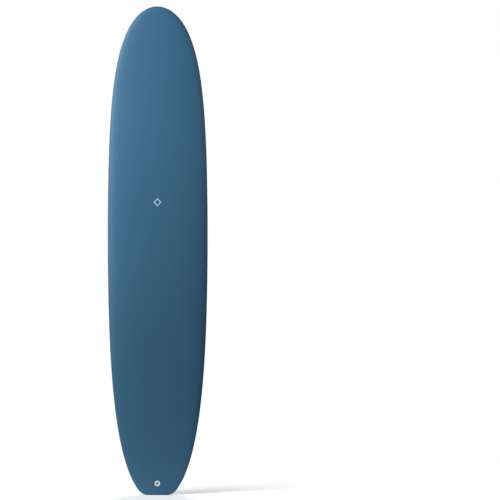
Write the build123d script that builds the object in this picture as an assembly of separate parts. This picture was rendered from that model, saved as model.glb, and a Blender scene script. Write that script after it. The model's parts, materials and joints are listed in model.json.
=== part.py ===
"""Longboard surfboard: foam sandwich hull, fin box with its sliding plate and screw, and leash cup.

Frame, in millimetres: the board stands on its tail. +Z runs from the tail to the nose, +X across
the board, -Y out of the deck and +Y out of the bottom. The origin is the centre of the flat tail
end. Along the board, s is the distance down from the nose tip, so z = LENGTH - s.
"""

import math
import os

from build123d import *

# Outside size
LENGTH = 2845.0  # 9 ft 4 in
WIDTH = 584.2  # 23 in, at the widest point
THICKNESS = 75.0  # at the thickest point, on the centre line

# Outline: a round nose law times a tail law
NOSE_FULLNESS = 332.0  # the longer, the more pointed the nose
TAIL_REACH = 2880.6  # where the two tail curves would meet, past the cut-off tail end
TAIL_HOLD = 5.5  # how long the width holds before the tail draws in
TAIL_TURN = 2.2  # how sharply the tail curves turn in
OUTLINE_PEAK = 0.9843  # largest value of the two laws' product

# Rocker: how far the bottom line lifts towards each tip
NOSE_LIFT = 82.9
NOSE_LIFT_POWER = 5.0
TAIL_LIFT = 77.5
TAIL_LIFT_POWER = 5.66

# Foil: how the thickness falls off towards each tip, as a share of its full value
NOSE_THINNING = 0.667
NOSE_THINNING_POWER = 3.17
TAIL_THINNING = 0.667
TAIL_THINNING_POWER = 4.0
FOIL_PEAK = 0.8864  # largest value of the foil law

# Cross-section, as shares of the half-width and of the depths above and below the rail apex
DECK_SHARE = 0.55  # deck's share of the thickness, measured from the rail apex
FLAT_SHARE = 0.80  # flat middle of the bottom
BOTTOM_PULL = (0.93, 0.60)  # control points of the bottom rail curve
DECK_PULL = (0.68, 0.64)  # control points of the domed deck curve

# Rounded ends
NOSE_ROUNDING = 45.0  # length over which the nose tip closes
TAIL_ROUNDING = 8.0  # edge radius round the flat tail end, from the deck over to the bottom
TAIL_CORNER = (26.0, 30.0)  # how much of each tail corner is rounded off, across and along the board
TIP_FLAT = 0.2  # the nose ends this short of a true point

# Layers
SKIN = 1.2  # painted glass laminate
NOSE_CAP = 6.0  # solid glass at the nose tip
BOND = 0.25  # resin line between bonded pieces
SHEET = 3.0  # high-density foam sandwich sheet
SEAM = 0.1  # resin line between the deck and bottom skins, on the rail apex
RAIL_BAND = 42.0
NOSE_BLOCK = 120.0
TAIL_BLOCK = 44.0
CENTRE_BLOCKS = 64.0  # width of the two hard foam blocks under the leash cup and the fin box
LEASH_BLOCK_TOP = 84.5  # height where the leash block ends and the fin block begins
FIN_BLOCK_TOP = 405.0
CORE_JOINTS = (1150.0, 1900.0)  # heights where the core's foam is glued up from shorter lengths
RAIL_JOINTS = (420.0, 900.0, 1500.0, 2100.0, 2450.0)  # the same in the rail bands
STRINGER = 4.5
FOAM_SIDE = SKIN + 2 * BOND  # insets of the foam body inside the skins
FOAM_FACE = SKIN + BOND
CORE_FACE = FOAM_FACE + SHEET + BOND  # inset of the core's deck and bottom faces

# Fin box, in its own frame: x along the track towards the nose, y across, z out of the bottom
FIN_BOX_HEIGHT = 239.0  # centre of the box above the tail end
FLANGE = (308.0, 43.0, 2.6)  # length, width, thickness
BOX_BODY = (286.0, 25.0, 26.0)  # length, width, depth under the surface
SLOT = (273.0, 9.6, 23.4)  # length, width, depth
CHANNEL = (273.0, 17.0, 4.6, 8.8)  # length, width, upper and lower depth
ENTRY = (13.0, 17.0, 7.0)  # length, width, distance from the box's centre
TRACK_CORNER = 1.5  # rounding of the channels' and the entry notch's corners
SIDE_GAP = 0.2  # round a piece let into a cut-out

# Fin plate and screw
PLATE = (12.7, 16.0, 3.0)  # length along the track, width, thickness
PLATE_CORNER = 1.0
PLATE_DEPTH = 6.7  # middle of the plate under the surface
PLATE_END_GAP = 0.6  # between the plate and the front end of the channel
SCREW_RADIUS = 2.08  # 8-32 thread
SCREW_LENGTH = 16.0
SCREW_TOP_DEPTH = 0.9
SCREW_POINT = 0.6  # chamfer at the shank's end
HEAD = (4.0, 2.6, 0.9)  # radius, height, rounding
RECESS = (4.6, 1.1, 1.4)  # cross recess: length, width, depth
RUNNING_GAP = 0.05

# Leash cup, in its own frame: z out of the deck
LEASH_HEIGHT = 68.0
CUP_RIM = (16.0, 2.2)  # radius, thickness
CUP_BODY = (13.0, 18.0)  # radius, depth
CUP_MOUTH = (8.5, 15.0)  # radius, depth
CUP_FLOOR_ROUNDING = 4.0
CUP_LEAD_IN = 1.0
LEASH_BAR = (2.0, 22.0, 5.0)  # radius, length, depth of its axis

# Printed marks under the last coat
MARK_FILM = 0.3
FILM_GAP = 0.03
DECK_MARK = (1705.0, 24.0, 6.0)  # height, radius of the diamond, width of its line
BOTTOM_MARK = (1745.0, 9, 12.0, 7.0, 8.0)  # height, bars, pitch, bar length, bar width

# Loft stations
LONG_STATIONS = 20
BLOCK_STATIONS = 10
CORNER_STATIONS = 8
CAP_STATIONS = 4
END_SPACING = 2.0  # a station nearer than this to a cut end is left out
WIDE_POINT = 1400.0  # where the nose and tail stations meet
OUTLINE_POINTS = 24
CLEAR = 40.0  # how far a cutter reaches past the outside of what it cuts
NEAR = 10.0  # the same, where the far side of the board is close behind
HALF_SPAN = 200.0  # half the depth of a cutter that runs through the whole board

# Which level of a small shape is at zero
HANGING = (Align.CENTER, Align.CENTER, Align.MAX)
STANDING = (Align.CENTER, Align.CENTER, Align.MIN)


def outline(s):
    """Half-width at a distance s from the nose, before the tail corners are rounded."""
    nose = math.sqrt(1 - math.exp(-max(s, 0.0) / NOSE_FULLNESS))
    tail = (1 - (s / TAIL_REACH) ** TAIL_HOLD) ** (1 / TAIL_TURN) if s > 0 else 1.0
    return WIDTH / 2 / OUTLINE_PEAK * nose * tail


def thickness(s):
    """Thickness on the centre line."""
    towards_nose = max(1 - s / LENGTH, 0.0) ** NOSE_THINNING_POWER
    towards_tail = max(s / LENGTH, 0.0) ** TAIL_THINNING_POWER
    return THICKNESS / FOIL_PEAK * (1 - NOSE_THINNING * towards_nose - TAIL_THINNING * towards_tail)


def lift(s):
    """How far the bottom line stands back from its highest line, towards the deck."""
    towards_nose = max(1 - s / LENGTH, 0.0) ** NOSE_LIFT_POWER
    towards_tail = max(s / LENGTH, 0.0) ** TAIL_LIFT_POWER
    return NOSE_LIFT * towards_nose + TAIL_LIFT * towards_tail


def bottom_line(s):
    """Y of the bottom on the centre line; the tail end's middle is at zero."""
    return lift(LENGTH) - lift(s) + thickness(LENGTH) / 2


def deck_line(s):
    """Y of the deck on the centre line."""
    return bottom_line(s) - thickness(s)


def rounding(from_end, depth, length):
    """Inset of an elliptic edge that falls away by depth over the last length before an end."""
    if from_end >= length:
        return 0.0
    return depth * (1 - math.sqrt(1 - (1 - max(from_end, 0.0) / length) ** 2))


def nose_edge(u):
    """Share of the thickness left where the nose tip closes."""
    if u >= NOSE_ROUNDING:
        return 1.0
    return math.sqrt(1 - ((NOSE_ROUNDING - u) / NOSE_ROUNDING) ** 2)


def station(s, side, deck, bottom):
    """Half-width, apex Y, depth to the deck, depth to the bottom and Z of one section.

    side, deck and bottom are insets from the outer surface, and outsets where they are negative.
    """
    u = (s - side) * LENGTH / (LENGTH - 2 * side)
    radius = max(TAIL_ROUNDING - side, 1.0)
    edge = rounding(LENGTH - u, radius, radius)
    corner = rounding(LENGTH - u, TAIL_CORNER[0] - side, TAIL_CORNER[1] - side)
    half = outline(u) * (1 - side / (WIDTH / 2)) - corner
    apex = bottom_line(s) - (1 - DECK_SHARE) * thickness(s)
    deck_depth = (DECK_SHARE * thickness(s) - deck) * nose_edge(u) - edge
    bottom_depth = ((1 - DECK_SHARE) * thickness(s) - bottom) * nose_edge(u) - edge
    return half, apex, deck_depth, bottom_depth, LENGTH - s


def deck_curves(half, apex, depth, z):
    """Domed deck from the right rail apex over to the left."""
    wide, tall = DECK_PULL
    crown = (0, apex - depth, z)
    right = Edge.make_bezier(
        (half, apex, z), (half, apex - tall * depth, z), (wide * half, apex - depth, z), crown
    )
    left = Edge.make_bezier(
        crown, (-wide * half, apex - depth, z), (-half, apex - tall * depth, z), (-half, apex, z)
    )
    return [right, left]


def bottom_curves(half, apex, depth, z):
    """Flat bottom with rolled rails, from the left rail apex across to the right."""
    wide, tall = BOTTOM_PULL
    flat = FLAT_SHARE * half
    low = apex + depth
    roll = [(flat, low, z), (wide * half, low, z), (half, apex + tall * depth, z), (half, apex, z)]
    mirrored = [(-x, y, z) for x, y, z in reversed(roll)]
    middle = Edge.make_line(mirrored[-1], roll[0])
    return [Edge.make_bezier(*mirrored), middle, Edge.make_bezier(*roll)]


def nose_stations(first, last, count):
    """Distances from the nose, close together at the first."""
    return [first + (last - first) * (k / count) ** 2 for k in range(count + 1)]


def tail_stations(first, side, count):
    """Distances from the nose, close together towards the tail end of a board inset by side."""
    corner = TAIL_CORNER[1] - side
    start = LENGTH - side - corner
    along = [start - (start - first) * (k / count) ** 2 for k in range(count, -1, -1)]
    turns = [math.pi / 2 * k / CORNER_STATIONS for k in range(1, CORNER_STATIONS + 1)]
    return along + [start + corner * math.sin(turn) for turn in turns]


def nose_start(side):
    """Where an inset board's nose begins: flat, behind the solid glass of the nose cap."""
    return NOSE_CAP + side if side > 0 else side + TIP_FLAT


def full_stations(side):
    """Distances from the nose over the whole length."""
    nose = nose_stations(nose_start(side), WIDE_POINT, LONG_STATIONS)
    return nose[:-1] + tail_stations(WIDE_POINT, side, LONG_STATIONS)


def loft(sections, straight=False):
    """Solid through a list of closed wires, smooth or straight from wire to wire."""
    return Part() + Solid.make_loft(sections, straight)


def board(side, deck, bottom, stations=None, straight=False):
    """The board as one solid, inset at the sides and tail, on the deck and on the bottom.

    stations keeps only the stretch that it covers.
    """
    sections = []
    for s in stations or full_stations(side):
        half, apex, deck_depth, bottom_depth, z = station(s, side, deck, bottom)
        curves = deck_curves(half, apex, deck_depth, z) + bottom_curves(half, apex, bottom_depth, z)
        sections.append(Wire(curves))
    return loft(sections, straight)


def even_board(inset):
    """The board inset by the same amount all over, or outset where it is negative."""
    return board(inset, inset, inset)


def mid_board(side, deck, bottom):
    """The stretch of an inset board between its two end blocks."""
    first = NOSE_BLOCK + BOND
    last = LENGTH - TAIL_BLOCK - BOND
    between = [s for s in full_stations(side) if first + END_SPACING < s < last - END_SPACING]
    return board(side, deck, bottom, [first] + between + [last])


def skin_curves(s, inset, is_deck):
    """One skin's curves at a station, from one rail apex to the other, half a seam short of both."""
    half, apex, deck_depth, bottom_depth, z = station(s, inset, inset, inset)
    if is_deck:
        return deck_curves(half, apex - SEAM / 2, deck_depth - SEAM / 2, z)
    return bottom_curves(half, apex + SEAM / 2, bottom_depth - SEAM / 2, z)


def cap_section(s, is_deck):
    """Closed section of solid glass at the nose tip or the tail end."""
    curves = skin_curves(s, 0.0, is_deck)
    return Wire(curves + [Edge.make_line(curves[-1] @ 1, curves[0] @ 0)])


def skin_section(s, is_deck):
    """Closed section of one laminate: its outer curves, its inner curves and a lip at each rail."""
    outer = skin_curves(s, 0.0, is_deck)
    inner = skin_curves(s, SKIN, is_deck)
    lips = [Edge.make_line(outer[-1] @ 1, inner[-1] @ 1), Edge.make_line(inner[0] @ 0, outer[0] @ 0)]
    return Wire(outer + lips + inner)


def skin(is_deck):
    """One laminate over the whole length, closed by solid glass at the nose tip and the tail end."""
    stations = nose_stations(NOSE_CAP, WIDE_POINT, LONG_STATIONS)[:-1]
    stations += tail_stations(WIDE_POINT, SKIN, LONG_STATIONS)
    shell = loft([skin_section(s, is_deck) for s in stations])
    steps = [(k / CAP_STATIONS) ** 2 for k in range(CAP_STATIONS + 1)]
    nose = loft([cap_section(TIP_FLAT + (NOSE_CAP - TIP_FLAT) * step, is_deck) for step in steps])
    tail = loft([cap_section(LENGTH - SKIN * step, is_deck) for step in steps])
    return nose + shell + tail


def outline_prism(inset):
    """Column through the board's thickness, inset from the outline, from the tail to the nose block."""
    high = LENGTH - NOSE_BLOCK + CLEAR
    heights = [high * k / OUTLINE_POINTS for k in range(OUTLINE_POINTS + 1)]
    right = [(outline(LENGTH - z) - inset, -HALF_SPAN, z) for z in heights]
    left = [(-x, y, z) for x, y, z in right]
    sides = [Edge.make_spline(right), Edge.make_line(right[-1], left[-1])]
    sides += [Edge.make_spline(list(reversed(left))), Edge.make_line(left[0], right[0])]
    return extrude(Face(Wire(sides)), amount=2 * HALF_SPAN, dir=(0, 1, 0))


def side_slab(low, high):
    """Box over the whole board between two distances from the centre plane."""
    return Pos((low + high) / 2, 0, LENGTH / 2) * Box(high - low, 2 * HALF_SPAN, 2 * LENGTH)


def cross_slab(low, high, width=2 * WIDTH):
    """Box through the board's thickness between two heights, over its whole width or a middle part."""
    return Pos(0, 0, (low + high) / 2) * Box(width, 2 * HALF_SPAN, high - low)


def surface_frame(line, height, outwards):
    """Plane touching a surface's centre line: x towards the nose, z out of the surface."""
    s = LENGTH - height
    slope = (line(s - 1) - line(s + 1)) / 2
    return Plane(origin=(0, line(s), height), x_dir=(0, slope, 1), z_dir=(0, outwards, -outwards * slope))


FIN_FRAME = surface_frame(bottom_line, FIN_BOX_HEIGHT, 1)
LEASH_FRAME = surface_frame(deck_line, LEASH_HEIGHT, -1)
DECK_MARK_FRAME = surface_frame(deck_line, DECK_MARK[0], -1)
BOTTOM_MARK_FRAME = surface_frame(bottom_line, BOTTOM_MARK[0], 1)


def column(frame, sketch, low, high, x=0.0):
    """A flat shape raised between two levels of a surface frame."""
    return frame.location * Pos(x, 0, low) * extrude(sketch, amount=high - low, dir=(0, 0, 1))


def jointed(part, heights):
    """The part cut into lengths, with a resin line at each height."""
    for height in heights:
        part = part - cross_slab(height, height + BOND)
    return part


def flange_column(gap):
    """Column over the fin box's flange."""
    length, width, thick = FLANGE
    return column(FIN_FRAME, SlotOverall(length + 2 * gap, width + 2 * gap), -thick - NEAR, CLEAR)


def rim_column(gap):
    """Column over the leash cup's rim."""
    return column(LEASH_FRAME, Circle(CUP_RIM[0] + gap), -NEAR, CLEAR)


def make_skins():
    """Deck and bottom laminates, cut out round the leash cup and the fin box."""
    return {
        "deck_skin": skin(True) - rim_column(SIDE_GAP),
        "bottom_skin": skin(False) - flange_column(SIDE_GAP),
    }


def make_end_blocks():
    """Hard foam blocks that take the knocks at the nose and the tail."""
    nose_part = nose_stations(nose_start(FOAM_SIDE), NOSE_BLOCK, BLOCK_STATIONS)
    tail_part = tail_stations(LENGTH - TAIL_BLOCK, FOAM_SIDE, BLOCK_STATIONS)
    nose = board(FOAM_SIDE, FOAM_FACE, FOAM_FACE, nose_part, straight=True)
    tail = board(FOAM_SIDE, FOAM_FACE, FOAM_FACE, tail_part, straight=True)
    return {"nose_block": nose, "tail_block": tail}


def make_rail_bands():
    """Hard foam bands along both rails, glued up from lengths, between the end blocks."""
    bands = mid_board(FOAM_SIDE, FOAM_FACE, FOAM_FACE) - outline_prism(RAIL_BAND)
    bands = jointed(bands, RAIL_JOINTS)
    return {
        "rail_band_left": bands & side_slab(-WIDTH, 0),
        "rail_band_right": bands & side_slab(0, WIDTH),
    }


def make_sheets():
    """Sandwich sheets over and under the core."""
    foam = mid_board(FOAM_SIDE, FOAM_FACE, FOAM_FACE) & outline_prism(RAIL_BAND + BOND)
    inside = board(0.0, FOAM_FACE + SHEET, FOAM_FACE + SHEET)
    deck, bottom = sorted((foam - inside).solids(), key=lambda solid: solid.center().Y)
    opening = CENTRE_BLOCKS + 2 * BOND
    return {
        "deck_sheet": deck - cross_slab(0, LEASH_BLOCK_TOP + BOND, opening),
        "bottom_sheet": bottom - cross_slab(LEASH_BLOCK_TOP, FIN_BLOCK_TOP + BOND, opening),
    }


def make_core():
    """Light foam core halves, glued up from blocks, with the wooden stringer between them."""
    inner = mid_board(FOAM_SIDE, CORE_FACE, CORE_FACE) & outline_prism(RAIL_BAND + BOND)
    inner = inner - cross_slab(0, FIN_BLOCK_TOP + BOND, CENTRE_BLOCKS + 2 * BOND)
    foam = jointed(inner, (FIN_BLOCK_TOP, *CORE_JOINTS))
    edge = STRINGER / 2 + BOND
    return {
        "core_left": foam & side_slab(-WIDTH, -edge),
        "core_right": foam & side_slab(edge, WIDTH),
        "stringer": inner & side_slab(-STRINGER / 2, STRINGER / 2),
    }


def box_body_column(gap):
    """Body of the fin box under its flange."""
    length, width, depth = BOX_BODY
    sketch = RectangleRounded(length + 2 * gap, width + 2 * gap, width / 4)
    return column(FIN_FRAME, sketch, -depth - gap, CLEAR)


def cup_body_column(gap):
    """Body of the leash cup under its rim."""
    radius, depth = CUP_BODY
    return column(LEASH_FRAME, Circle(radius + gap), -depth - gap, CLEAR)


def make_fin_box(outer):
    """Fin box: flange flush with the bottom, slot, side channels for the plate and entry notch."""
    under_flange = board(-NEAR, -NEAR, FLANGE[2])
    flange = (outer & flange_column(0.0)) - under_flange
    body = outer & box_body_column(0.0)
    slot = column(FIN_FRAME, SlotOverall(SLOT[0], SLOT[1]), -SLOT[2], CLEAR)
    channel_sketch = RectangleRounded(CHANNEL[0], CHANNEL[1], TRACK_CORNER)
    channel = column(FIN_FRAME, channel_sketch, -CHANNEL[3], -CHANNEL[2])
    entry_sketch = RectangleRounded(ENTRY[0], ENTRY[1], TRACK_CORNER)
    entry = column(FIN_FRAME, entry_sketch, -CHANNEL[3], CLEAR, x=ENTRY[2])
    return flange + body - slot - channel - entry


def make_fin_block():
    """Hard foam block that the fin box is glued into."""
    flange_seat = board(-NEAR, -NEAR, FLANGE[2] + BOND)
    shape = mid_board(FOAM_SIDE, CORE_FACE, FOAM_FACE)
    shape = shape & cross_slab(LEASH_BLOCK_TOP + BOND, FIN_BLOCK_TOP, CENTRE_BLOCKS)
    return shape - (flange_column(SIDE_GAP) - flange_seat) - box_body_column(BOND)


def plate_position():
    """Distance of the plate's centre from the box's centre, at rest at the front of the track."""
    return CHANNEL[0] / 2 - PLATE_END_GAP - PLATE[0] / 2


def make_fin_plate():
    """Threaded plate that slides in the fin box's side channels."""
    sketch = RectangleRounded(PLATE[0], PLATE[1], PLATE_CORNER) - Circle(SCREW_RADIUS + RUNNING_GAP)
    low = -PLATE_DEPTH - PLATE[2] / 2
    return column(FIN_FRAME, sketch, low, low + PLATE[2], x=plate_position())


def make_fin_screw():
    """Pan head screw with a cross recess, held in the plate."""
    radius, height, rounding = HEAD
    head = fillet(Cylinder(radius, height, align=HANGING).edges().group_by(Axis.Z)[-1], rounding)
    shank = Cylinder(SCREW_RADIUS, SCREW_LENGTH, align=HANGING)
    shank = chamfer(shank.edges().group_by(Axis.Z)[0], SCREW_POINT)
    screw = head + Pos(0, 0, -height / 2) * shank
    for turn in (0, 90):
        screw -= Rot(0, 0, turn) * Box(*RECESS, align=HANGING)
    return FIN_FRAME.location * Pos(plate_position(), 0, -SCREW_TOP_DEPTH) * screw


def bar_holes(gap):
    """The leash bar's cylinder, across the cup."""
    radius, length, depth = LEASH_BAR
    bar = Rot(90, 0, 0) * Cylinder(radius + gap, length + 2 * gap)
    return LEASH_FRAME.location * Pos(0, 0, -depth) * bar


def make_leash_cup(outer):
    """Moulded cup let into the deck, with a rounded floor and a lead-in at its mouth."""
    rim_radius, rim_thick = CUP_RIM
    under_rim = board(-NEAR, rim_thick, -NEAR)
    rim = (outer & rim_column(0.0)) - under_rim
    body = outer & cup_body_column(0.0)
    radius, depth = CUP_MOUTH
    well = Cylinder(radius, depth + CLEAR, align=STANDING)
    well = fillet(well.edges().group_by(Axis.Z)[0], CUP_FLOOR_ROUNDING)
    lead = Cone(radius, radius + 2 * CUP_LEAD_IN, 2 * CUP_LEAD_IN, align=STANDING)
    cut = Pos(0, 0, -depth) * well + Pos(0, 0, -CUP_LEAD_IN) * lead
    return rim + body - LEASH_FRAME.location * cut - bar_holes(RUNNING_GAP)


def make_leash_block():
    """Hard foam block that the leash cup is glued into."""
    rim_seat = board(-NEAR, CUP_RIM[1] + BOND, -NEAR)
    shape = mid_board(FOAM_SIDE, FOAM_FACE, CORE_FACE) & cross_slab(0, LEASH_BLOCK_TOP, CENTRE_BLOCKS)
    return shape - (rim_column(SIDE_GAP) - rim_seat) - cup_body_column(BOND)


def make_marks():
    """A plain diamond on the deck and a plain row of bars on the bottom, as thin film."""
    film = even_board(-MARK_FILM) - even_board(-FILM_GAP)
    height, radius, line = DECK_MARK
    diamond = RegularPolygon(radius, 4) - RegularPolygon(radius - line * math.sqrt(2), 4)
    deck_mark = film & column(DECK_MARK_FRAME, diamond, -NEAR, NEAR)
    count, pitch, long_side, short_side = BOTTOM_MARK[1:]
    bars = Sketch()
    for index in range(count):
        bars += Pos((index - (count - 1) / 2) * pitch, 0) * Rectangle(long_side, short_side)
    bottom_mark = film & column(BOTTOM_MARK_FRAME, bars, -NEAR, NEAR)
    return {"deck_mark": deck_mark, "bottom_mark": bottom_mark}


def make_parts():
    """Every node of the board, by name."""
    outer = even_board(0.0)
    parts = {}
    parts.update(make_skins())
    parts.update(make_end_blocks())
    parts.update(make_rail_bands())
    parts.update(make_sheets())
    parts.update(make_core())
    parts["fin_box"] = make_fin_box(outer)
    parts["fin_block"] = make_fin_block()
    parts["fin_plate"] = make_fin_plate()
    parts["fin_screw"] = make_fin_screw()
    parts["leash_cup"] = make_leash_cup(outer)
    parts["leash_block"] = make_leash_block()
    parts["leash_bar"] = bar_holes(0.0)
    parts.update(make_marks())
    return parts


def main():
    os.makedirs("parts", exist_ok=True)
    for name, shape in make_parts().items():
        export_step(shape, f"parts/{name}.step")
    print("fin track direction", FIN_FRAME.x_dir, "out of the bottom", FIN_FRAME.z_dir)
    print("fin box centre", FIN_FRAME.origin, "plate at", plate_position())
    print("leash cup", LEASH_FRAME.origin, LEASH_FRAME.z_dir)


main()
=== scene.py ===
"""Looks of the longboard: smooth painted skins, materials of every piece, light and camera.

Metres, in the frame of the CAD: the board stands on its tail, +Z to the nose, +X across,
-Y out of the deck and +Y out of the bottom.
"""

import json
import math

import bmesh
import bpy
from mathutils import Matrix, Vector


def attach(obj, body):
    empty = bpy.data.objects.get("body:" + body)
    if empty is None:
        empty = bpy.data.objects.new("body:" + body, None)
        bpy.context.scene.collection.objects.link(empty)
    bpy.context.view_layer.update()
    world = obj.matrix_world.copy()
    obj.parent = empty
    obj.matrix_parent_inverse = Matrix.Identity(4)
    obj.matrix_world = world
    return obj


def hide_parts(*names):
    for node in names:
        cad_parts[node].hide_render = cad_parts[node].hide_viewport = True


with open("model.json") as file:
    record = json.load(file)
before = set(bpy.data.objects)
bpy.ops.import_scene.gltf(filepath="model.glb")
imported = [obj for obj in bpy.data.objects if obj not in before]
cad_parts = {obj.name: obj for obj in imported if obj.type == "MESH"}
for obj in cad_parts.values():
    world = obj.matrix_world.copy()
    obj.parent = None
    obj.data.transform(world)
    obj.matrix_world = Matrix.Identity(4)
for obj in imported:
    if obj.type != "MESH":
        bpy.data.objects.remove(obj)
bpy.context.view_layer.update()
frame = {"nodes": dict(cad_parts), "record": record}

# Hull: the same laws as the CAD
LENGTH = 2.845
WIDTH = 0.5842
THICKNESS = 0.075
NOSE_FULLNESS = 0.332
TAIL_REACH = 2.8806
TAIL_HOLD = 5.5
TAIL_TURN = 2.2
OUTLINE_PEAK = 0.9843
NOSE_LIFT = 0.0829
NOSE_LIFT_POWER = 5.0
TAIL_LIFT = 0.0775
TAIL_LIFT_POWER = 5.66
NOSE_THINNING = 0.667
NOSE_THINNING_POWER = 3.17
TAIL_THINNING = 0.667
TAIL_THINNING_POWER = 4.0
FOIL_PEAK = 0.8864
DECK_SHARE = 0.55
FLAT_SHARE = 0.80
BOTTOM_PULL = (0.93, 0.60)
DECK_PULL = (0.68, 0.64)
NOSE_ROUNDING = 0.045
TAIL_ROUNDING = 0.008
TAIL_CORNER = (0.026, 0.030)
TIP_FLAT = 0.0002
SKIN = 0.0012

# Cut-outs in the skins
FIN_BOX_HEIGHT = 0.239
FLANGE_LENGTH = 0.308
FLANGE_WIDTH = 0.043
LEASH_HEIGHT = 0.068
RIM_RADIUS = 0.016
SIDE_GAP = 0.0002
CUTTER_REACH = 0.012
CUTTER_POINTS = 96

# Mesh density
NOSE_STATIONS = 150
TAIL_STATIONS = 150
CORNER_STATIONS = 24
NOSE_CROWDING = 2.0  # 1 spaces the stations evenly, and more crowds them at the end
TAIL_CROWDING = 1.6
WIDE_POINT = 1.4
DECK_POINTS = 44
ROLL_POINTS = 26
FLAT_POINTS = 36
SHARP_ANGLE = math.radians(35)
SLOPE_STEP = 0.001

# Camera and picture
VIEW_WIDTH = 2.912
CAMERA_DISTANCE = 14.0
CAMERA_SIDEWAYS = 0.5394
CAMERA_HEIGHT = 1.4265
SENSOR = 36.0
FLOOR_RADIUS = 1.1
FLOOR_POINTS = 128
FLOOR_FADE = (0.25, 0.98)  # where the floor starts and ends to fade, as shares of its radius
FLOOR_GLOW = 0.10
WORLD_COLOR = (0.86, 0.93, 1.0)
WORLD_LIGHT = 0.03
WHITE = (1.0, 1.0, 1.0)

# Each light's place, target, width and height, and watts
LIGHTS = {
    "deck_key": ((-1.9, -1.5, 3.4), (0.0, 0.0, 1.9), (1.2, 1.6), 80.0),
    "deck_side": ((-2.6, -1.6, 2.2), (0.0, 0.0, 1.4), (1.2, 2.0), 74.0),
    "right_fill": ((2.8, -1.0, 2.4), (0.0, 0.0, 1.5), (1.0, 2.4), 32.0),
    "bottom_key": ((0.3, 2.4, 4.2), (0.0, 0.0, 2.2), (1.4, 1.4), 105.0),
    "bottom_fill": ((0.8, 3.4, 1.2), (0.0, 0.0, 1.2), (1.8, 1.8), 40.0),
}


def outline(s):
    nose = math.sqrt(1 - math.exp(-max(s, 0.0) / NOSE_FULLNESS))
    tail = (1 - (s / TAIL_REACH) ** TAIL_HOLD) ** (1 / TAIL_TURN) if s > 0 else 1.0
    return WIDTH / 2 / OUTLINE_PEAK * nose * tail


def thickness(s):
    towards_nose = max(1 - s / LENGTH, 0.0) ** NOSE_THINNING_POWER
    towards_tail = max(s / LENGTH, 0.0) ** TAIL_THINNING_POWER
    return THICKNESS / FOIL_PEAK * (1 - NOSE_THINNING * towards_nose - TAIL_THINNING * towards_tail)


def lift(s):
    towards_nose = max(1 - s / LENGTH, 0.0) ** NOSE_LIFT_POWER
    towards_tail = max(s / LENGTH, 0.0) ** TAIL_LIFT_POWER
    return NOSE_LIFT * towards_nose + TAIL_LIFT * towards_tail


def bottom_line(s):
    return lift(LENGTH) - lift(s) + thickness(LENGTH) / 2


def deck_line(s):
    return bottom_line(s) - thickness(s)


def rounding(from_end, depth, length):
    """Inset of an elliptic edge that falls away by depth over the last length before an end."""
    if from_end >= length:
        return 0.0
    return depth * (1 - math.sqrt(1 - (1 - max(from_end, 0.0) / length) ** 2))


def station(s):
    """Half-width, apex Y, depth to the deck, depth to the bottom and Z of the outer surface."""
    edge = rounding(LENGTH - s, TAIL_ROUNDING, TAIL_ROUNDING)
    closing = 1.0
    if s < NOSE_ROUNDING:
        closing = math.sqrt(1 - ((NOSE_ROUNDING - s) / NOSE_ROUNDING) ** 2)
    half = outline(s) - rounding(LENGTH - s, *TAIL_CORNER)
    apex = bottom_line(s) - (1 - DECK_SHARE) * thickness(s)
    deck_depth = DECK_SHARE * thickness(s) * closing - edge
    bottom_depth = (1 - DECK_SHARE) * thickness(s) * closing - edge
    return half, apex, deck_depth, bottom_depth, LENGTH - s


def stations():
    """Distances from the nose, close together at both ends."""
    reach = WIDE_POINT - TIP_FLAT
    nose = [TIP_FLAT + reach * (k / NOSE_STATIONS) ** NOSE_CROWDING for k in range(NOSE_STATIONS)]
    corner = TAIL_CORNER[1]
    last = LENGTH - corner
    reach = last - WIDE_POINT
    backwards = range(TAIL_STATIONS, -1, -1)
    tail = [last - reach * (k / TAIL_STATIONS) ** TAIL_CROWDING for k in backwards]
    turns = [math.pi / 2 * k / CORNER_STATIONS for k in range(1, CORNER_STATIONS + 1)]
    return nose + tail + [last + corner * math.sin(turn) for turn in turns]


def bezier(points, count):
    """Points along a cubic curve, both ends included."""
    out = []
    for k in range(count + 1):
        t = k / count
        weights = ((1 - t) ** 3, 3 * t * (1 - t) ** 2, 3 * t**2 * (1 - t), t**3)
        out.append(tuple(sum(w * p[i] for w, p in zip(weights, points)) for i in (0, 1)))
    return out


def deck_row(s):
    """The deck's line across the board, from the right rail apex to the left."""
    half, apex, depth, _, z = station(s)
    wide, tall = DECK_PULL
    low = apex - depth
    handles = [(half, apex), (half, apex - tall * depth), (wide * half, low), (0, low)]
    right = bezier(handles, DECK_POINTS)
    left = [(-x, y) for x, y in reversed(right[:-1])]
    return [(x, y, z) for x, y in right + left]


def bottom_row(s):
    """The bottom's line across the board, from the left rail apex to the right."""
    half, apex, _, depth, z = station(s)
    wide, tall = BOTTOM_PULL
    flat = FLAT_SHARE * half
    low = apex + depth
    handles = [(half, apex), (half, apex + tall * depth), (wide * half, low), (flat, low)]
    roll = bezier(handles, ROLL_POINTS)
    middle = [(flat - 2 * flat * k / FLAT_POINTS, low) for k in range(1, FLAT_POINTS)]
    right_to_left = roll + middle + [(-x, y) for x, y in reversed(roll)]
    return [(x, y, z) for x, y in reversed(right_to_left)]


def add_object(name, mesh):
    obj = bpy.data.objects.new(name, mesh)
    bpy.context.scene.collection.objects.link(obj)
    return obj


def apply_modifiers(obj):
    """Keep the mesh as its modifiers leave it."""
    graph = bpy.context.evaluated_depsgraph_get()
    mesh = bpy.data.meshes.new_from_object(obj.evaluated_get(graph))
    obj.modifiers.clear()
    old = obj.data
    obj.data = mesh
    bpy.data.meshes.remove(old)


def smooth(obj):
    """Smooth shading, with the edges of real corners kept sharp."""
    obj.data.shade_smooth()
    obj.data.set_sharp_from_angle(angle=SHARP_ANGLE)


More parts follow.
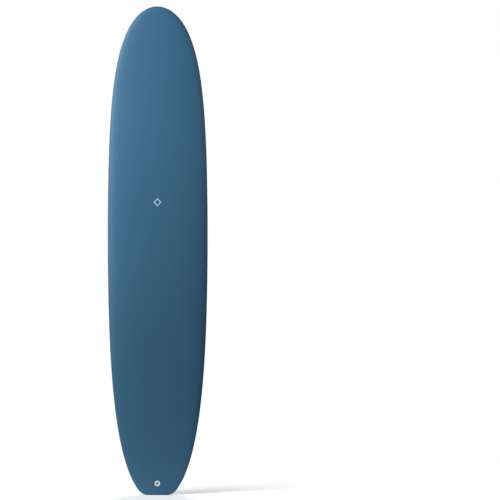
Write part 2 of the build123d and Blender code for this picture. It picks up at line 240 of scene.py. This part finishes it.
def surface(name, row):
    """Open surface through the board's stations, closed at the nose tip and at the tail end."""
    rows = [row(s) for s in stations()]
    width = len(rows[0])
    points = [point for line in rows for point in line]
    faces = []
    for i in range(len(rows) - 1):
        for j in range(width - 1):
            a = i * width + j
            faces.append((a, a + 1, a + width + 1, a + width))
    for start, turned in ((0, True), ((len(rows) - 1) * width, False)):
        middle = len(points)
        first = points[start]
        points.append((0.0, first[1], first[2]))
        for j in range(width - 1):
            face = (start + j, start + j + 1, middle)
            faces.append(face[::-1] if turned else face)
    mesh = bpy.data.meshes.new(name)
    mesh.from_pydata(points, [], faces)
    mesh.update()
    return add_object(name, mesh)


def surface_axes(line, height, outwards):
    """Origin, direction towards the nose and direction out of a surface's centre line."""
    s = LENGTH - height
    slope = (line(s - SLOPE_STEP) - line(s + SLOPE_STEP)) / (2 * SLOPE_STEP)
    along = Vector((0, slope, 1)).normalized()
    out = Vector((0, outwards, -outwards * slope)).normalized()
    return Vector((0, line(s), height)), along, out


def cutter(origin, along, out, straight, radius):
    """Rounded column through a skin: a slot shape, or a circle where straight is zero."""
    ring = []
    half = CUTTER_POINTS // 2
    for side in (1, -1):
        for k in range(half + 1 if straight else half):
            turn = math.pi * k / half - math.pi / 2
            if side < 0:
                turn += math.pi
            ring.append((side * straight / 2 + radius * math.cos(turn), radius * math.sin(turn)))
    made = bmesh.new()
    levels = []
    for level in (-CUTTER_REACH, CUTTER_REACH):
        middle = origin + out * level
        levels.append([made.verts.new(middle + along * a + Vector((b, 0, 0))) for a, b in ring])
    low, high = levels
    count = len(ring)
    for k in range(count):
        made.faces.new((low[k], low[(k + 1) % count], high[(k + 1) % count], high[k]))
    made.faces.new(low[::-1])
    made.faces.new(high)
    bmesh.ops.recalc_face_normals(made, faces=made.faces)
    mesh = bpy.data.meshes.new("cutter")
    made.to_mesh(mesh)
    made.free()
    return add_object("cutter", mesh)


def skin(name, node, row, tool, material):
    """One painted laminate with its real thickness and its cut-out."""
    obj = surface(name, row)
    shell = obj.modifiers.new("shell", "SOLIDIFY")
    shell.thickness = SKIN
    shell.offset = -1.0
    cut = obj.modifiers.new("cut", "BOOLEAN")
    cut.operation = "DIFFERENCE"
    cut.solver = "EXACT"
    cut.object = tool
    apply_modifiers(obj)
    bpy.data.objects.remove(tool)
    smooth(obj)
    obj.data.materials.clear()
    obj.data.materials.append(material)
    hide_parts(node)
    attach(obj, "board")


# Materials


class Tree:
    """A material and short calls for its nodes."""

    def __init__(self, name, color, roughness, metallic=0.0):
        self.material = bpy.data.materials.new(name)
        self.material.use_nodes = True
        self.nodes = self.material.node_tree.nodes
        self.links = self.material.node_tree.links
        self.shader = self.nodes["Principled BSDF"]
        self.shader.inputs["Base Color"].default_value = (*color, 1.0)
        self.shader.inputs["Roughness"].default_value = roughness
        self.shader.inputs["Metallic"].default_value = metallic
        self.place = self.nodes.new("ShaderNodeTexCoord").outputs["Object"]

    def noise(self, scale, detail=2.0, stretch=(1.0, 1.0, 1.0)):
        """Noise in the object's own space; scale is in waves per metre."""
        mapping = self.nodes.new("ShaderNodeMapping")
        mapping.inputs["Scale"].default_value = stretch
        self.links.new(self.place, mapping.inputs["Vector"])
        node = self.nodes.new("ShaderNodeTexNoise")
        node.inputs["Scale"].default_value = scale
        node.inputs["Detail"].default_value = detail
        self.links.new(mapping.outputs["Vector"], node.inputs["Vector"])
        return node.outputs["Fac"]

    def cells(self, scale):
        """Rounded cells, as in beaded foam."""
        node = self.nodes.new("ShaderNodeTexVoronoi")
        node.inputs["Scale"].default_value = scale
        self.links.new(self.place, node.inputs["Vector"])
        return node.outputs["Distance"]

    def between(self, value, low, high, start=0.3, end=0.7):
        """Value spread from low to high over the middle of its range."""
        node = self.nodes.new("ShaderNodeMapRange")
        node.inputs["From Min"].default_value = start
        node.inputs["From Max"].default_value = end
        node.inputs["To Min"].default_value = low
        node.inputs["To Max"].default_value = high
        self.links.new(value, node.inputs["Value"])
        return node.outputs["Result"]

    def blend(self, factor, first, second):
        """Mix of two colours, or of a socket and a colour."""
        node = self.nodes.new("ShaderNodeMix")
        node.data_type = "RGBA"
        self.links.new(factor, node.inputs["Factor"])
        for socket, value in ((node.inputs["A"], first), (node.inputs["B"], second)):
            if isinstance(value, tuple):
                socket.default_value = (*value, 1.0)
            else:
                self.links.new(value, socket)
        return node.outputs["Result"]

    def color(self, socket):
        self.links.new(socket, self.shader.inputs["Base Color"])

    def roughness(self, socket):
        self.links.new(socket, self.shader.inputs["Roughness"])

    def bump(self, value, depth):
        """Relief of a real depth, on top of any relief already there."""
        node = self.nodes.new("ShaderNodeBump")
        node.inputs["Distance"].default_value = depth
        self.links.new(value, node.inputs["Height"])
        before = self.shader.inputs["Normal"]
        if before.is_linked:
            self.links.new(before.links[0].from_socket, node.inputs["Normal"])
        self.links.new(node.outputs["Normal"], before)


def paint():
    """Matte sprayed blue: slight drift of tone, fine orange peel, a few dull rub marks."""
    tree = Tree("painted_glass", (0.040, 0.125, 0.220), 0.5)
    tree.shader.inputs["Specular IOR Level"].default_value = 0.2
    drift = tree.between(tree.noise(1.7, 3.0), 0.0, 1.0)
    coat = tree.blend(drift, (0.038, 0.121, 0.214), (0.042, 0.130, 0.227))
    speck = tree.between(tree.noise(900.0, 2.0), 0.0, 0.10, 0.45, 0.75)
    tree.color(tree.blend(speck, coat, (0.085, 0.175, 0.270)))
    rubbed = tree.noise(6.0, 5.0, (1.0, 1.0, 0.25))
    tree.roughness(tree.between(rubbed, 0.44, 0.54))
    orange_peel = tree.noise(260.0, 1.0)
    tree.bump(orange_peel, 0.00004)
    tree.bump(tree.noise(1500.0, 2.0), 0.00001)
    return tree.material


def plastic(name, color, darker, roughness):
    """Moulded plastic: fine texture, faint flow marks and a little grime."""
    tree = Tree(name, color, roughness)
    stain = tree.between(tree.noise(45.0, 6.0), 0.0, 0.6, 0.48, 0.72)
    tree.color(tree.blend(stain, color, darker))
    tree.roughness(tree.between(tree.noise(120.0, 3.0), roughness - 0.06, roughness + 0.08))
    tree.bump(tree.noise(2200.0, 2.0), 0.00002)
    return tree.material


def hard_foam():
    """Dense closed-cell foam."""
    tree = Tree("hard_foam", (0.71, 0.64, 0.45), 0.85)
    tree.color(tree.blend(tree.noise(400.0, 3.0), (0.66, 0.59, 0.40), (0.76, 0.70, 0.52)))
    tree.bump(tree.noise(1400.0, 3.0), 0.00015)
    return tree.material


def core_foam():
    """White beaded foam, its beads about 4 mm across, with painted shade darkening the creases
    between the beads.
    """
    tree = Tree("core_foam", (0.86, 0.86, 0.83), 0.8)
    cells = tree.cells(250.0)
    # painted shade: the colour darkens towards each bead's edge, where the creases between beads
    # lie
    painted_crease_shade = tree.between(cells, 0.0, 1.0, 0.2, 0.9)
    tree.color(tree.blend(painted_crease_shade, (0.90, 0.90, 0.88), (0.68, 0.68, 0.65)))
    tree.bump(cells, -0.0004)
    return tree.material


def stringer_wood():
    """Plain plywood with its grain along the board."""
    tree = Tree("stringer_wood", (0.34, 0.19, 0.08), 0.6)
    grain = tree.noise(220.0, 6.0, (1.0, 1.0, 0.03))
    stripes = tree.between(grain, 0.0, 1.0)
    tree.color(tree.blend(stripes, (0.26, 0.14, 0.055), (0.44, 0.27, 0.12)))
    tree.bump(grain, 0.00008)
    return tree.material


def metal(name, color, roughness, stretch):
    """Plain metal with fine drawing or turning marks and dull spots."""
    tree = Tree(name, color, roughness, 1.0)
    spots = tree.between(tree.noise(300.0, 5.0), 0.0, 0.55, 0.45, 0.75)
    tree.color(tree.blend(spots, color, tuple(0.55 * c for c in color)))
    scratches = tree.noise(900.0, 3.0, stretch)
    tree.roughness(tree.between(scratches, roughness - 0.08, roughness + 0.12))
    tree.bump(tree.noise(2500.0, 2.0, stretch), 0.00001)
    return tree.material


def mark_film():
    """Pale printed film under the last coat."""
    tree = Tree("mark_film", (0.37, 0.56, 0.72), 0.5)
    worn = tree.between(tree.noise(500.0, 4.0), 0.0, 0.35, 0.5, 0.75)
    tree.color(tree.blend(worn, (0.40, 0.60, 0.77), (0.20, 0.36, 0.50)))
    tree.bump(tree.noise(1500.0, 2.0), 0.00001)
    return tree.material


def floor_material():
    """Pale floor that fades out into the white round it."""
    tree = Tree("studio_floor", (0.9, 0.9, 0.9), 0.9)
    tree.shader.inputs["Specular IOR Level"].default_value = 0.0
    tree.shader.inputs["Emission Color"].default_value = (*WHITE, 1.0)
    tree.shader.inputs["Emission Strength"].default_value = FLOOR_GLOW
    length = tree.nodes.new("ShaderNodeVectorMath")
    length.operation = "LENGTH"
    tree.links.new(tree.place, length.inputs[0])
    first, last = (share * FLOOR_RADIUS for share in FLOOR_FADE)
    fade = tree.between(length.outputs["Value"], 1.0, 0.0, first, last)
    tree.links.new(fade, tree.shader.inputs["Alpha"])
    return tree.material


def make_floor():
    made = bmesh.new()
    bmesh.ops.create_circle(made, cap_ends=True, segments=FLOOR_POINTS, radius=FLOOR_RADIUS)
    mesh = bpy.data.meshes.new("floor")
    made.to_mesh(mesh)
    made.free()
    mesh.materials.append(floor_material())
    floor = add_object("floor", mesh)


def area_light(name, place, target, size, power):
    light = bpy.data.lights.new(name, "AREA")
    light.shape = "RECTANGLE"
    light.size, light.size_y = size
    light.energy = power
    obj = bpy.data.objects.new(name, light)
    obj.location = place
    obj.rotation_euler = (Vector(target) - Vector(place)).to_track_quat("-Z", "Y").to_euler()
    bpy.context.scene.collection.objects.link(obj)


def make_lights():
    for name, values in LIGHTS.items():
        area_light(name, *values)


def make_world():
    """White seen directly, dim as a light."""
    world = bpy.data.worlds.new("studio")
    world.use_nodes = True
    nodes = world.node_tree.nodes
    links = world.node_tree.links
    background = nodes["Background"]
    background.inputs["Color"].default_value = (*WORLD_COLOR, 1.0)
    background.inputs["Strength"].default_value = WORLD_LIGHT
    white = nodes.new("ShaderNodeBackground")
    white.inputs["Color"].default_value = (*WHITE, 1.0)
    path = nodes.new("ShaderNodeLightPath")
    mix = nodes.new("ShaderNodeMixShader")
    links.new(path.outputs["Is Camera Ray"], mix.inputs["Fac"])
    links.new(background.outputs["Background"], mix.inputs[1])
    links.new(white.outputs["Background"], mix.inputs[2])
    links.new(mix.outputs["Shader"], nodes["World Output"].inputs["Surface"])
    bpy.context.scene.world = world
    bpy.context.scene.view_settings.view_transform = "Standard"


def make_camera():
    """Straight at the deck, from a little to the right of the board."""
    camera = bpy.data.cameras.new("camera")
    camera.sensor_width = SENSOR
    camera.lens = SENSOR * CAMERA_DISTANCE / VIEW_WIDTH
    camera.clip_end = 100.0
    obj = bpy.data.objects.new("camera", camera)
    obj.location = (CAMERA_SIDEWAYS, -CAMERA_DISTANCE, CAMERA_HEIGHT)
    obj.rotation_euler = (math.pi / 2, 0.0, 0.0)
    bpy.context.scene.collection.objects.link(obj)
    bpy.context.scene.camera = obj


def dress(materials):
    """Give every CAD node its slot's material."""
    for part in frame["record"]["subparts"]:
        obj = frame["nodes"][part["node"]]
        material = materials[part["material_slot"]]
        if not obj.material_slots:
            obj.data.materials.append(material)
        for entry in obj.material_slots:
            entry.material = material


def main():
    make_camera()
    materials = {
        "painted_glass": paint(),
        "hard_foam": hard_foam(),
        "core_foam": core_foam(),
        "stringer_wood": stringer_wood(),
        "box_plastic": plastic("box_plastic", (0.70, 0.75, 0.81), (0.50, 0.53, 0.58), 0.45),
        "plate_brass": metal("plate_brass", (0.42, 0.29, 0.12), 0.42, (1.0, 1.0, 1.0)),
        "stainless": metal("stainless", (0.55, 0.54, 0.53), 0.32, (0.1, 1.0, 1.0)),
        "cup_plastic": plastic("cup_plastic", (0.78, 0.86, 0.86), (0.60, 0.65, 0.64), 0.42),
        "mark_film": mark_film(),
    }
    dress(materials)
    cup_axes = surface_axes(deck_line, LEASH_HEIGHT, -1)
    box_axes = surface_axes(bottom_line, FIN_BOX_HEIGHT, 1)
    deck_cut = cutter(*cup_axes, 0.0, RIM_RADIUS + SIDE_GAP)
    bottom_cut = cutter(*box_axes, FLANGE_LENGTH - FLANGE_WIDTH, FLANGE_WIDTH / 2 + SIDE_GAP)
    skin("deck_skin_painted", "deck_skin", deck_row, deck_cut, materials["painted_glass"])
    skin("bottom_skin_painted", "bottom_skin", bottom_row, bottom_cut, materials["painted_glass"])
    make_floor()
    make_lights()
    make_world()


main()
